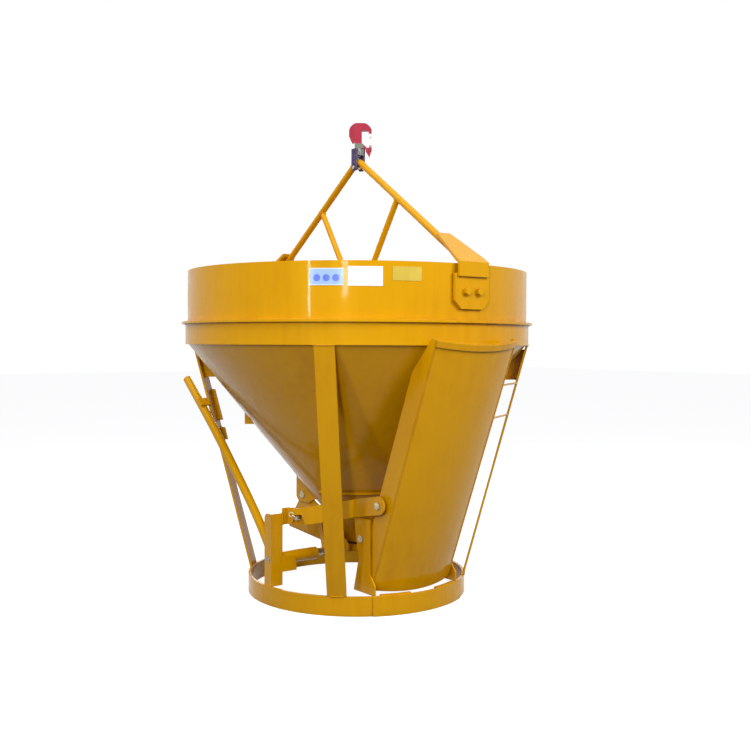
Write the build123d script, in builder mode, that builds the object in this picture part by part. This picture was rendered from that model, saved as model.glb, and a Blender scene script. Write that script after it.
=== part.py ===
from build123d import *
import os
from math import asin, atan2, cos, degrees, hypot, radians, sin, sqrt, tan

os.makedirs("parts", exist_ok=True)

# The bucket stands on its base ring: origin on the hopper's axis at the ring's underside.
# +X is the side where the chute discharges, -Y the side with the lever.

# Running clearance of a pin in its hole, gap between flat faces that slide, and a seat gap
pin_play = 0.05
side_gap = 3.0
seat_gap = 0.3

# Hopper
rim_radius = 750.0
rim_wall = 6.0
rim_bottom = 1100.0
rim_height = 312.0
cone_wall = 6.4
outlet_radius = 140.0
cone_bottom = 346.0

# Band and flange round the rim
band_thickness = 10.0
band_height = 83.0
band_lip = 4.0
flange_width = 26.0
flange_thickness = 10.0

# Base ring
ring_radius = 487.0
ring_thickness = 12.0
ring_height = 80.0
strap_thickness = 5.0
strap_start = -27.6
strap_end = 31.0
strip_height = 6.0
strip_width = 17.0
strip_start = 8.0
strip_end = 24.0

# Legs
leg_width = 80.0
leg_thickness = 10.0
leg_top_inset = 2.0
rib_height = 130.0
rib_thickness = 8.0

# Bail
bail_apex_z = 1920.0
bail_rim_z = 1402.5
bail_slope = (bail_apex_z - bail_rim_z) / rim_radius
bail_bar_radius = 15.0
bail_bend_radius = 45.0
bail_foot_inset = 61.6
strut_radius = 13.0
strut_reach = 290.0
tie_z = 1305.0
tie_radius = 16.0
foot_plate_width = 150.0
foot_plate_narrow = 70.0
foot_plate_thickness = 12.0
foot_plate_run = 160.0
bracket_width = 176.0
bracket_top = 1361.0
bracket_bottom = 1236.0
bracket_chamfer = 32.0
bolt_spacing = 64.0
bolt_radius = 10.0
bolt_head_radius = 16.0
bolt_head_height = 14.0
washer_radius = 20.0
washer_thickness = 3.0

# Gate: a flat flap hung on two side cheeks from a pivot beside the cone
gate_pivot_x = -165.0
gate_pivot_z = 415.0
gate_left_x = -301.0
gate_left_z = 248.0
gate_right_x = 181.0
gate_right_z = 212.0
gate_half_width = 172.0
gate_plate = 8.0
cheek_plate = 6.0
seal_thickness = 6.0
seal_width = 26.0
pivot_bolt_radius = 12.0
hanger_plate = 8.0

# Lever, its shaft, and the crank whose pin works in a slot of the gate cheek
shaft_x = 27.0
shaft_z = 190.0
shaft_radius = 14.0
sleeve_wall = 12.0
sleeve_length = 190.0
lever_radius = 19.0
lever_knee_x = -230.0
lever_knee_z = 541.0
lever_knee_reach = 8.0
lever_pass_x = -418.0
lever_pass_z = 766.0
lever_pass_reach = 45.0
lever_end_x = -612.0
lever_end_z = 930.0
lever_end_reach = 53.0
crank_length = 165.0
crank_plate = 8.0
crank_pin_radius = 8.0
lever_travel = 45.0
slot_play = 4.5

# Post on the ring
post_x = 0.0
post_width = 55.0
post_depth = 56.0
post_wall = 6.0
post_top = 385.0
post_inset = 7.0
post_face_y = -(ring_radius - post_inset)
post_arm_length = 76.0
post_arm_low = 136.0
post_arm_high = 200.0

# Chute, folded up against the bucket
chute_low_inset = 95.3
chute_low_x = ring_radius - chute_low_inset
chute_mouth_reach = 44.1
chute_low_z = 95.0
chute_length = 1098.0
chute_half_width = 209.0
chute_wall = 5.0
chute_bulge = 45.0
chute_depth_low = 92.0
chute_depth_high = 86.0
chute_depth_mouth = 22.0
chute_high_at = 932.0
chute_pivot_inset = 147.0
chute_pivot_x = ring_radius - chute_pivot_inset
chute_pivot_z = 300.0
chute_bolt_radius = 10.0
upright_plate = 8.0
upright_outer_inset = 87.0
upright_outer_x = ring_radius - upright_outer_inset
upright_top = 386.0

# Stay bar that holds the chute up
stay_plate = 8.0
stay_height = 75.0
stay_bolt_inset = 17.0
stay_bolt_x = ring_radius - stay_bolt_inset
stay_bolt_z = 455.0
stay_bend_inset = 190.0
stay_bend_x = ring_radius - stay_bend_inset
stay_angle = 39.0
stay_reach = 274.0
stay_drop = 0.2
stay_pin_radius = 8.0
stay_pin_back = 31.4
notch_side_play = 4.5
notch_top_play = 2.5
notch_flare = 23.0
lug_gap = 15.0
lug_height = 70.0

# Label plates on the rim
label_thickness = 1.2

# Derived places
rim_top = rim_bottom + rim_height
band_bottom = rim_bottom - band_lip
band_top = band_bottom + band_lip + band_height
band_outer = rim_radius + band_thickness
cone_slope = (rim_radius - outlet_radius) / (rim_bottom - cone_bottom)


def side_plane(y):
    """Vertical plane at this y, with x to the right, z up and its normal along -Y."""
    return Plane(origin=(0, y, 0), x_dir=(1, 0, 0), z_dir=(0, -1, 0))


def radial_plane(angle):
    """Vertical plane through the axis, with the radius at this angle as its x."""
    a = radians(angle)
    return Plane(origin=(0, 0, 0), x_dir=(cos(a), sin(a), 0), z_dir=(sin(a), -cos(a), 0))


def ring(inner, outer, bottom, height):
    """Plain round ring about the axis."""
    with BuildPart() as body:
        with BuildSketch(Plane.XY.offset(bottom)):
            Circle(outer)
            Circle(inner, mode=Mode.SUBTRACT)
        extrude(amount=height)
    return body.part


def ring_segment(inner, outer, bottom, height, start, end):
    """Part of a ring between two angles."""
    with BuildPart() as body:
        with BuildSketch(Plane.XY.offset(bottom)):
            with BuildLine():
                CenterArc((0, 0), outer, start, end - start)
                CenterArc((0, 0), inner, start, end - start)
                for angle in (start, end):
                    inner_end = (inner * cos(radians(angle)), inner * sin(radians(angle)))
                    PolarLine(inner_end, outer - inner, angle)
            make_face()
        extrude(amount=height)
    return body.part


def rod(start, end, radius):
    """Round bar between two points."""
    along = Vector(*end) - Vector(*start)
    with BuildPart() as body:
        with BuildSketch(Plane(origin=start, z_dir=along)):
            Circle(radius)
        extrude(amount=along.length)
    return body.part


def hex_bolt(origin, direction, radius, head_radius, head_height, grip):
    """Hexagon bolt: its head stands on the plane and the shank runs back through the grip."""
    with BuildPart() as body:
        with BuildSketch(Plane(origin=origin, z_dir=direction)):
            RegularPolygon(head_radius, 6)
        extrude(amount=head_height)
        with BuildSketch(Plane(origin=origin, z_dir=direction)):
            Circle(radius)
        extrude(amount=-grip)
    return body.part


def hex_nut(origin, direction, bore, radius, height):
    """Hexagon nut standing on the plane."""
    with BuildPart() as body:
        with BuildSketch(Plane(origin=origin, z_dir=direction)):
            RegularPolygon(radius, 6)
            Circle(bore, mode=Mode.SUBTRACT)
        extrude(amount=height)
    return body.part


# Hopper shell: rim, cone and outlet neck
with BuildPart() as rim_shell:
    add(ring(rim_radius - rim_wall, rim_radius, rim_bottom, rim_height))
    for side in (0, 180):
        for y in (-bolt_spacing / 2, bolt_spacing / 2):
            hole_plane = Plane(origin=(0, y, tie_z), z_dir=(cos(radians(side)), 0, 0))
            with BuildSketch(hole_plane):
                Circle(bolt_radius + pin_play)
            extrude(amount=rim_radius + band_thickness, mode=Mode.SUBTRACT)
rim_shell.part.label = "rim_shell"
export_step(rim_shell.part, "parts/rim_shell.step")

with BuildPart() as hopper_cone:
    with BuildSketch(Plane.XZ):
        Polygon(
            (outlet_radius, cone_bottom),
            (rim_radius, rim_bottom),
            (rim_radius - cone_wall, rim_bottom),
            (outlet_radius - cone_wall, cone_bottom),
            align=None,
        )
    revolve(axis=Axis.Z)
hopper_cone.part.label = "hopper_cone"
export_step(hopper_cone.part, "parts/hopper_cone.step")

# The space that the cone takes, inside included, for pieces cut to sit on it
with BuildPart() as cone_space:
    with BuildSketch(Plane.XZ):
        Polygon(
            (0, cone_bottom),
            (outlet_radius, cone_bottom),
            (rim_radius, rim_bottom),
            (0, rim_bottom),
            align=None,
        )
    revolve(axis=Axis.Z)

# Underside of the gate plate as a line in x and z
gate_slope = (gate_right_z - gate_left_z) / (gate_right_x - gate_left_x)
gate_tilt = degrees(atan2(gate_right_z - gate_left_z, gate_right_x - gate_left_x))
gate_middle = ((gate_left_x + gate_right_x) / 2, (gate_left_z + gate_right_z) / 2)
gate_length = hypot(gate_right_x - gate_left_x, gate_right_z - gate_left_z)
gate_plane = Plane(
    origin=(0, 0, gate_left_z - gate_left_x * gate_slope),
    x_dir=(cos(radians(gate_tilt)), 0, sin(radians(gate_tilt))),
    z_dir=(-sin(radians(gate_tilt)), 0, cos(radians(gate_tilt))),
)
neck_cut = gate_plate + seal_thickness + seat_gap

with BuildPart() as outlet_neck:
    with BuildSketch(Plane.XY.offset(cone_bottom)):
        Circle(outlet_radius)
        Circle(outlet_radius - cone_wall, mode=Mode.SUBTRACT)
    extrude(amount=-(cone_bottom - gate_right_z))
    with BuildSketch(gate_plane.offset(neck_cut)):
        Rectangle(4 * outlet_radius, 4 * outlet_radius)
    extrude(amount=-cone_bottom, mode=Mode.SUBTRACT)
outlet_neck.part.label = "outlet_neck"
export_step(outlet_neck.part, "parts/outlet_neck.step")

# Lip welded round the front of the cone above the outlet
collar_z = 455.0
collar_height = 8.0
collar_width = 18.0
collar_angle = 78.0
collar_outer = outlet_radius + (collar_z - cone_bottom) * cone_slope + collar_width
with BuildPart() as outlet_collar:
    add(ring_segment(outlet_radius, collar_outer, collar_z, collar_height, -collar_angle, collar_angle))
    add(cone_space.part, mode=Mode.SUBTRACT)
outlet_collar.part.label = "outlet_collar"
export_step(outlet_collar.part, "parts/outlet_collar.step")

with BuildPart() as rim_band:
    add(ring(rim_radius, band_outer, band_bottom, band_top - band_bottom))
rim_band.part.label = "rim_band"
export_step(rim_band.part, "parts/rim_band.step")

with BuildPart() as rim_flange:
    add(ring(rim_radius, rim_radius + flange_width, band_top, flange_thickness))
rim_flange.part.label = "rim_flange"
export_step(rim_flange.part, "parts/rim_flange.step")

# Base ring, the strap on its chute side and the two strips on its top
with BuildPart() as base_ring:
    add(ring(ring_radius - ring_thickness, ring_radius, 0, ring_height))
base_ring.part.label = "base_ring"
export_step(base_ring.part, "parts/base_ring.step")

with BuildPart() as ring_strap:
    add(ring_segment(ring_radius, ring_radius + strap_thickness, 0, ring_height, strap_start, strap_end))
ring_strap.part.label = "ring_strap"
export_step(ring_strap.part, "parts/ring_strap.step")

with BuildPart() as chute_rest_strips:
    for start, end in ((-strip_end, -strip_start), (strip_start, strip_end)):
        add(ring_segment(ring_radius - strip_width, ring_radius, ring_height, strip_height, start, end))
chute_rest_strips.part.label = "chute_rest_strips"
export_step(chute_rest_strips.part, "parts/chute_rest_strips.step")

# Legs from the ring's top to the band's underside, and the ribs that tie them to the cone
leg_top_outer = band_outer - leg_top_inset
leg_top_inner = leg_top_outer - leg_thickness
leg_foot_outer = ring_radius
leg_foot_inner = ring_radius - leg_thickness
leg_lean = (leg_top_outer - leg_foot_outer) / (band_bottom - ring_height)


def leg_inner_at(z):
    """Radius of the legs' inner face at this height."""
    return leg_foot_inner + (z - ring_height) * leg_lean


def cone_radius_at(z):
    """Outer radius of the cone at this height."""
    return outlet_radius + (z - cone_bottom) * cone_slope


legs = {
    "leg_chute_left": -45,
    "leg_chute_right": 45,
    "leg_back_right": 135,
    "leg_back_left": -135,
}
leg_parts = {}
for leg_name, leg_angle in legs.items():
    with BuildPart() as leg:
        with BuildSketch(radial_plane(leg_angle)):
            Polygon(
                (leg_foot_inner, ring_height),
                (leg_foot_outer, ring_height),
                (leg_top_outer, band_bottom),
                (leg_top_inner, band_bottom),
                align=None,
            )
        extrude(amount=leg_width / 2, both=True)
    leg.part.label = leg_name
    export_step(leg.part, f"parts/{leg_name}.step")
    leg_parts[leg_name] = leg.part

rib_top = band_bottom - 20
rib_low = rib_top - rib_height
with BuildPart() as leg_ribs:
    for leg_angle in legs.values():
        with BuildSketch(radial_plane(leg_angle)):
            Polygon(
                (cone_radius_at(rib_top) + seat_gap, rib_top),
                (leg_inner_at(rib_top), rib_top),
                (leg_inner_at(rib_low), rib_low),
                (cone_radius_at(rib_low) + seat_gap, rib_low),
                align=None,
            )
        extrude(amount=rib_thickness / 2, both=True)
leg_ribs.part.label = "leg_ribs"
export_step(leg_ribs.part, "parts/leg_ribs.step")

# Bail: one bar bent at the apex, foot plates over the rim, brackets, struts and tie
bail_foot_x = rim_radius - bail_foot_inset
bail_foot_z = bail_apex_z - bail_slope * bail_foot_x
with BuildPart() as bail_bar:
    with BuildLine(side_plane(0)):
        FilletPolyline(
            (-bail_foot_x, bail_foot_z),
            (0, bail_apex_z),
            (bail_foot_x, bail_foot_z),
            radius=bail_bend_radius,
        )
    foot_plane = Plane(origin=(-bail_foot_x, 0, bail_foot_z), z_dir=(1, 0, bail_slope))
    with BuildSketch(foot_plane):
        Circle(bail_bar_radius)
    sweep()
bail_bar.part.label = "bail_bar"
export_step(bail_bar.part, "parts/bail_bar.step")

# The foot plate lies on the bar, widens towards the rim and folds down outside it
bail_cos = 1 / sqrt(1 + bail_slope**2)
bracket_inner_x = rim_radius + seat_gap
foot_plate_inner = rim_radius - foot_plate_run
fold_x = bracket_inner_x + foot_plate_thickness
fold_outer_x = fold_x + foot_plate_thickness
plate_rise = foot_plate_thickness / bail_cos


def over_bar(x):
    """Height of the bar's upper side at this x."""
    return bail_apex_z - bail_slope * x + bail_bar_radius / bail_cos


with BuildPart() as foot_plate:
    with BuildSketch(side_plane(foot_plate_width / 2)):
        Polygon(
            (foot_plate_inner, over_bar(foot_plate_inner)),
            (fold_x, over_bar(fold_x)),
            (fold_x, bracket_top),
            (fold_outer_x, bracket_top),
            (fold_outer_x, over_bar(fold_outer_x) + plate_rise),
            (foot_plate_inner, over_bar(foot_plate_inner) + plate_rise),
            align=None,
        )
    extrude(amount=foot_plate_width)
    with BuildSketch(Plane.XY):
        Polygon(
            (foot_plate_inner, -foot_plate_narrow / 2),
            (rim_radius, -foot_plate_width / 2),
            (fold_outer_x, -foot_plate_width / 2),
            (fold_outer_x, foot_plate_width / 2),
            (rim_radius, foot_plate_width / 2),
            (foot_plate_inner, foot_plate_narrow / 2),
            align=None,
        )
    extrude(amount=bail_apex_z, mode=Mode.INTERSECT)
with BuildPart() as bail_foot_plates:
    add(foot_plate.part)
    mirror(foot_plate.part, about=Plane.YZ)
bail_foot_plates.part.label = "bail_foot_plates"
export_step(bail_foot_plates.part, "parts/bail_foot_plates.step")

with BuildPart() as bracket:
    with BuildSketch(Plane(origin=(bracket_inner_x, 0, 0), x_dir=(0, 1, 0), z_dir=(1, 0, 0))) as outline:
        Polygon(
            (-bracket_width / 2, bracket_top + foot_plate_thickness),
            (bracket_width / 2, bracket_top + foot_plate_thickness),
            (bracket_width / 2, bracket_bottom + bracket_chamfer),
            (bracket_width / 2 - bracket_chamfer, bracket_bottom),
            (-bracket_width / 2 + bracket_chamfer, bracket_bottom),
            (-bracket_width / 2, bracket_bottom + bracket_chamfer),
            align=None,
        )
        with Locations((-bolt_spacing / 2, tie_z), (bolt_spacing / 2, tie_z)):
            Circle(bolt_radius + pin_play, mode=Mode.SUBTRACT)
    extrude(amount=foot_plate_thickness)
with BuildPart() as bail_brackets:
    add(bracket.part)
    mirror(bracket.part, about=Plane.YZ)
bail_brackets.part.label = "bail_brackets"
export_step(bail_brackets.part, "parts/bail_brackets.step")

# Anchor plates inside the rim that the tie bar is welded to, and the bracket bolts through them
anchor_height = 90.0
anchor_outer_x = sqrt((rim_radius - rim_wall) ** 2 - (bracket_width / 2) ** 2) - seat_gap
anchor_inner_x = anchor_outer_x - foot_plate_thickness
with BuildPart() as anchor:
    with BuildSketch(Plane(origin=(anchor_inner_x, 0, 0), x_dir=(0, 1, 0), z_dir=(1, 0, 0))):
        with Locations((0, tie_z)):
            Rectangle(bracket_width, anchor_height)
        with Locations((-bolt_spacing / 2, tie_z), (bolt_spacing / 2, tie_z)):
            Circle(bolt_radius + pin_play, mode=Mode.SUBTRACT)
    extrude(amount=foot_plate_thickness)
with BuildPart() as rim_anchor_plates:
    add(anchor.part)
    mirror(anchor.part, about=Plane.YZ)
rim_anchor_plates.part.label = "rim_anchor_plates"
export_step(rim_anchor_plates.part, "parts/rim_anchor_plates.step")

bracket_face_x = bracket_inner_x + foot_plate_thickness
nut_height = bolt_head_height
bolt_grip = bracket_face_x - anchor_inner_x + washer_thickness + nut_height
bolt_parts = []
nut_parts = []
washer_parts = []
for sign in (1, -1):
    for y in (-bolt_spacing / 2, bolt_spacing / 2):
        head_x = sign * (bracket_face_x + washer_thickness)
        outward = (sign, 0, 0)
        inward = (-sign, 0, 0)
        bolt_parts.append(
            hex_bolt((head_x, y, tie_z), outward, bolt_radius, bolt_head_radius, bolt_head_height, bolt_grip)
        )
        nut_place = (sign * anchor_inner_x, y, tie_z)
        nut_bore = bolt_radius + pin_play
        nut_parts.append(hex_nut(nut_place, inward, nut_bore, bolt_head_radius, nut_height))
        washer_start = (sign * bracket_face_x, y, tie_z)
        washer_end = (head_x, y, tie_z)
        washer_parts.append(
            rod(washer_start, washer_end, washer_radius) - rod(washer_start, washer_end, nut_bore)
        )
with BuildPart() as bracket_bolts:
    for piece in bolt_parts:
        add(piece)
bracket_bolts.part.label = "bracket_bolts"
export_step(bracket_bolts.part, "parts/bracket_bolts.step")

with BuildPart() as bracket_nuts:
    for piece in nut_parts:
        add(piece)
bracket_nuts.part.label = "bracket_nuts"
export_step(bracket_nuts.part, "parts/bracket_nuts.step")

with BuildPart() as bracket_washers:
    for piece in washer_parts:
        add(piece)
bracket_washers.part.label = "bracket_washers"
export_step(bracket_washers.part, "parts/bracket_washers.step")

# Tie bar across the hopper and the two struts that rise from its middle to the bail
tie_half = anchor_inner_x
with BuildPart() as tie_bar:
    add(rod((-tie_half, 0, tie_z), (tie_half, 0, tie_z), tie_radius))
tie_bar.part.label = "tie_bar"
export_step(tie_bar.part, "parts/tie_bar.step")

strut_top_z = bail_apex_z - bail_slope * strut_reach
strut_angle = atan2(strut_reach, strut_top_z - tie_z)
strut_foot_x = tie_radius * 1.2
strut_parts = []
tie_space = rod((-tie_half, 0, tie_z), (tie_half, 0, tie_z), tie_radius)
for sign in (1, -1):
    strut_parts.append(
        rod((sign * strut_foot_x, 0, tie_z), (sign * strut_reach, 0, strut_top_z), strut_radius)
        - tie_space
        - bail_bar.part
    )
with BuildPart() as bail_struts:
    for piece in strut_parts:
        add(max(piece.solids(), key=lambda solid: solid.volume))
bail_struts.part.label = "bail_struts"
export_step(bail_struts.part, "parts/bail_struts.step")

# Gate: plate, cheeks, seal
shaft_to_pivot = hypot(gate_pivot_x - shaft_x, gate_pivot_z - shaft_z)
toward_pivot = atan2(shaft_x - gate_pivot_x, gate_pivot_z - shaft_z)
crank_rest = toward_pivot - radians(lever_travel / 2)
crank_pin_x = shaft_x - crank_length * sin(crank_rest)
crank_pin_z = shaft_z + crank_length * cos(crank_rest)
pin_reach_rest = hypot(crank_pin_x - gate_pivot_x, crank_pin_z - gate_pivot_z)
pin_reach_least = shaft_to_pivot - crank_length
slot_angle = degrees(atan2(crank_pin_z - gate_pivot_z, crank_pin_x - gate_pivot_x))
slot_half_width = crank_pin_radius + slot_play
slot_start = pin_reach_least - slot_play
slot_end = pin_reach_rest + slot_play

with BuildPart() as gate_flap:
    with BuildSketch(gate_plane):
        middle = gate_plane.to_local_coords(Vector(gate_middle[0], 0, gate_middle[1]))
        with Locations((middle.X, 0)):
            Rectangle(gate_length, 2 * gate_half_width)
    extrude(amount=gate_plate)
gate_flap.part.label = "gate_flap"
export_step(gate_flap.part, "parts/gate_flap.step")

seal_radius = outlet_radius + (seal_width - cone_wall) / 2
with BuildPart() as gate_seal:
    with BuildSketch(gate_plane.offset(gate_plate)):
        Circle(seal_radius)
        Circle(seal_radius - seal_width, mode=Mode.SUBTRACT)
    extrude(amount=seal_thickness)
gate_seal.part.label = "gate_seal"
export_step(gate_seal.part, "parts/gate_seal.step")

cheek_lift = gate_plate / cos(radians(gate_tilt))
boss_radius = 26.0
slot_wall = 12.0
tail_height = 22.0


def gate_cheek_part(with_slot):
    """Side cheek of the gate on the -Y side."""
    with BuildPart() as body:
        with BuildSketch(side_plane(-gate_half_width + cheek_plate)):
            Polygon(
                (gate_left_x, gate_left_z + cheek_lift),
                (gate_right_x, gate_right_z + cheek_lift),
                (gate_right_x, gate_right_z + cheek_lift + tail_height),
                (crank_pin_x + 2 * slot_half_width, crank_pin_z + slot_half_width),
                (crank_pin_x, crank_pin_z + slot_half_width + slot_wall * 0.6),
                (gate_pivot_x + boss_radius, gate_pivot_z),
                (gate_pivot_x - boss_radius, gate_pivot_z),
                (gate_left_x, gate_left_z + cheek_lift + tail_height),
                align=None,
            )
            with Locations((gate_pivot_x, gate_pivot_z)):
                Circle(boss_radius)
                Circle(pivot_bolt_radius + pin_play, mode=Mode.SUBTRACT)
            if with_slot:
                reach = (slot_start + slot_end) / 2
                slot_x = gate_pivot_x + reach * cos(radians(slot_angle))
                slot_z = gate_pivot_z + reach * sin(radians(slot_angle))
                with Locations((slot_x, slot_z)):
                    SlotCenterToCenter(
                        slot_end - slot_start, 2 * slot_half_width, rotation=slot_angle, mode=Mode.SUBTRACT
                    )
        extrude(amount=cheek_plate)
    return body.part


with BuildPart() as gate_cheek_left:
    add(gate_cheek_part(True))
gate_cheek_left.part.label = "gate_cheek_left"
export_step(gate_cheek_left.part, "parts/gate_cheek_left.step")

far_cheek = gate_cheek_part(False)
with BuildPart() as gate_cheek_right:
    mirror(far_cheek, about=Plane.XZ)
gate_cheek_right.part.label = "gate_cheek_right"
export_step(gate_cheek_right.part, "parts/gate_cheek_right.step")

# Hanger plates on the cone's sides, with the gate's pivot bolts
hanger_inner_y = gate_half_width + side_gap
hanger_drop = 34.0
hanger_back_reach = 58.0
hanger_front_reach = 105.0
hanger_flat = 45.0
hanger_rise = 30.0
hanger_chamfer = 20.0
hanger_low = gate_pivot_z - hanger_drop
hanger_back = gate_pivot_x - hanger_back_reach
hanger_front = gate_pivot_x + hanger_front_reach
with BuildPart() as hanger:
    with BuildSketch(side_plane(-hanger_inner_y)):
        Polygon(
            (hanger_back, rim_bottom / 2),
            (hanger_back, hanger_low + hanger_chamfer),
            (hanger_back + hanger_chamfer, hanger_low),
            (gate_pivot_x + hanger_flat, hanger_low),
            (hanger_front, hanger_low + hanger_rise),
            (hanger_front, rim_bottom / 2),
            align=None,
        )
        with Locations((gate_pivot_x, gate_pivot_z)):
            Circle(pivot_bolt_radius + pin_play, mode=Mode.SUBTRACT)
    extrude(amount=hanger_plate)
    add(cone_space.part, mode=Mode.SUBTRACT)
    add(outlet_collar.part, mode=Mode.SUBTRACT)
with BuildPart() as gate_hangers:
    add(hanger.part)
    mirror(hanger.part, about=Plane.XZ)
gate_hangers.part.label = "gate_hangers"
export_step(gate_hangers.part, "parts/gate_hangers.step")

pivot_nut_height = 10.0
pivot_head_height = 8.0
pivot_head_radius = 1.5 * pivot_bolt_radius
hanger_face_y = -hanger_inner_y - hanger_plate
cheek_inner_y = -gate_half_width + cheek_plate
pivot_grip = cheek_inner_y - hanger_face_y + side_gap / 3 + pivot_nut_height
pivot_bolt = hex_bolt(
    (gate_pivot_x, hanger_face_y, gate_pivot_z),
    (0, -1, 0),
    pivot_bolt_radius,
    pivot_head_radius,
    pivot_head_height,
    pivot_grip,
)
pivot_nut = hex_nut(
    (gate_pivot_x, cheek_inner_y + side_gap / 3, gate_pivot_z),
    (0, 1, 0),
    pivot_bolt_radius + pin_play,
    pivot_head_radius,
    pivot_nut_height,
)
with BuildPart() as gate_pivot_bolts:
    for piece in (pivot_bolt, pivot_nut):
        add(piece)
        mirror(piece, about=Plane.XZ)
gate_pivot_bolts.part.label = "gate_pivot_bolts"
export_step(gate_pivot_bolts.part, "parts/gate_pivot_bolts.step")

# Post: an angle on the ring, with an arm behind it that holds the shaft's sleeve
lever_root_y = post_face_y + post_wall + side_gap + lever_radius
sleeve_start_y = lever_root_y + lever_radius + side_gap
sleeve_radius = shaft_radius + sleeve_wall
post_side_x = post_x + post_width - post_wall
post_arm_round = 30.0
with BuildPart() as post_angle:
    with BuildSketch(Plane.XY.offset(ring_height)):
        with Locations((post_x, post_face_y)):
            Rectangle(post_width, post_wall, align=(Align.MIN, Align.MIN))
        with Locations((post_side_x, post_face_y)):
            Rectangle(post_wall, post_depth, align=(Align.MIN, Align.MIN))
    extrude(amount=post_top - ring_height)
    corner = post_angle.edges().filter_by(Axis.Y).group_by(Axis.Z)[-1].sort_by(Axis.X)[0]
    fillet(corner, radius=post_width / 2.2)
    with BuildSketch(Plane(origin=(post_side_x, 0, 0), x_dir=(0, 1, 0), z_dir=(1, 0, 0))) as arm:
        with Locations((post_face_y + post_depth - post_wall, post_arm_low)):
            Rectangle(post_arm_length, post_arm_high - post_arm_low, align=(Align.MIN, Align.MIN))
        fillet(arm.vertices().group_by(Axis.Y)[-1].sort_by(Axis.X)[-1], radius=post_arm_round)
    extrude(amount=post_wall)
    with BuildSketch(side_plane(sleeve_start_y + post_arm_length)):
        with Locations((shaft_x, shaft_z)):
            Circle(sleeve_radius)
    extrude(amount=post_arm_length, mode=Mode.SUBTRACT)
    with BuildSketch(side_plane(sleeve_start_y)):
        with Locations((shaft_x, shaft_z)):
            Circle(shaft_radius + pin_play)
    extrude(amount=post_depth + post_width, mode=Mode.SUBTRACT)
post_angle.part.label = "post_angle"
export_step(post_angle.part, "parts/post_angle.step")

# Sleeve welded in the post's arm that carries the lever shaft
with BuildPart() as shaft_sleeve:
    with BuildSketch(side_plane(sleeve_start_y + sleeve_length)):
        with Locations((shaft_x, shaft_z)):
            Circle(sleeve_radius)
            Circle(shaft_radius + pin_play, mode=Mode.SUBTRACT)
    extrude(amount=sleeve_length)
shaft_sleeve.part.label = "shaft_sleeve"
export_step(shaft_sleeve.part, "parts/shaft_sleeve.step")

# Lever tube, hub, shaft, crank and crank pin
crank_face_y = -(hanger_inner_y + hanger_plate + side_gap + 1)
shaft_proud = 2.0
shaft_end_y = post_face_y - shaft_proud
hub_radius = 27.0
lever_hub_radius = 20.0
lever_start = (shaft_x, shaft_z)
with BuildPart() as lever_shaft:
    with BuildSketch(side_plane(crank_face_y)):
        with Locations(lever_start):
            Circle(shaft_radius)
    extrude(amount=crank_face_y - shaft_end_y)
lever_shaft.part.label = "lever_shaft"
export_step(lever_shaft.part, "parts/lever_shaft.step")

with BuildPart() as lever_hub:
    with BuildSketch(side_plane(lever_root_y + lever_radius)):
        with Locations(lever_start):
            Circle(lever_hub_radius)
            Circle(shaft_radius + pin_play, mode=Mode.SUBTRACT)
    extrude(amount=2 * lever_radius)
lever_hub.part.label = "lever_hub"
export_step(lever_hub.part, "parts/lever_hub.step")

# The tube leaves the hub inside the post, bends outward past the back leg and ends in a straight handle
hub_space = rod(
    (shaft_x, lever_root_y - 2 * lever_radius, shaft_z),
    (shaft_x, lever_root_y + 2 * lever_radius, shaft_z),
    lever_hub_radius,
)
tube_wall = 4.0
lever_knee = Vector(lever_knee_x, -(ring_radius + lever_knee_reach), lever_knee_z)
lever_pass = Vector(lever_pass_x, -(ring_radius + lever_pass_reach), lever_pass_z)
lever_end = Vector(lever_end_x, -(ring_radius + lever_end_reach), lever_end_z)
lever_root = Vector(shaft_x, lever_root_y, shaft_z)
first_run = (Vector(lever_knee.X, lever_root_y, lever_knee.Z) - lever_root).normalized()
last_run = (lever_end - lever_pass).normalized()
with BuildPart() as lever_tube:
    with BuildLine() as lever_path:
        Spline(lever_root, lever_knee, lever_pass, tangents=(first_run, last_run))
        Line(lever_pass, lever_end)
    with BuildSketch(Plane(origin=lever_root, z_dir=first_run)):
        Circle(lever_radius)
        Circle(lever_radius - tube_wall, mode=Mode.SUBTRACT)
    sweep(path=lever_path.wire())
    with BuildSketch(Plane(origin=lever_end, z_dir=last_run)):
        Circle(lever_radius)
    extrude(amount=tube_wall)
    add(hub_space, mode=Mode.SUBTRACT)
lever_tube.part.label = "lever_tube"
export_step(lever_tube.part, "parts/lever_tube.step")

with BuildPart() as lever_crank:
    with BuildSketch(side_plane(crank_face_y)):
        with Locations(lever_start):
            Circle(hub_radius)
        with Locations((crank_pin_x, crank_pin_z)):
            Circle(2 * crank_pin_radius)
        with Locations(((shaft_x + crank_pin_x) / 2, (shaft_z + crank_pin_z) / 2)):
            Rectangle(3.4 * crank_pin_radius, crank_length, rotation=degrees(crank_rest))
        with Locations(lever_start):
            Circle(shaft_radius + pin_play, mode=Mode.SUBTRACT)
        with Locations((crank_pin_x, crank_pin_z)):
            Circle(crank_pin_radius + pin_play, mode=Mode.SUBTRACT)
    extrude(amount=crank_plate)
lever_crank.part.label = "lever_crank"
export_step(lever_crank.part, "parts/lever_crank.step")

crank_pin_head = 3.0
crank_pin_past = 4.0
with BuildPart() as crank_pin:
    with BuildSketch(side_plane(cheek_inner_y + crank_pin_past)):
        with Locations((crank_pin_x, crank_pin_z)):
            Circle(crank_pin_radius)
    extrude(amount=cheek_inner_y + crank_pin_past - crank_face_y + crank_plate)
    with BuildSketch(side_plane(crank_face_y - crank_plate)):
        with Locations((crank_pin_x, crank_pin_z)):
            Circle(1.5 * crank_pin_radius)
    extrude(amount=crank_pin_head)
crank_pin.part.label = "crank_pin"
export_step(crank_pin.part, "parts/crank_pin.step")

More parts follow.
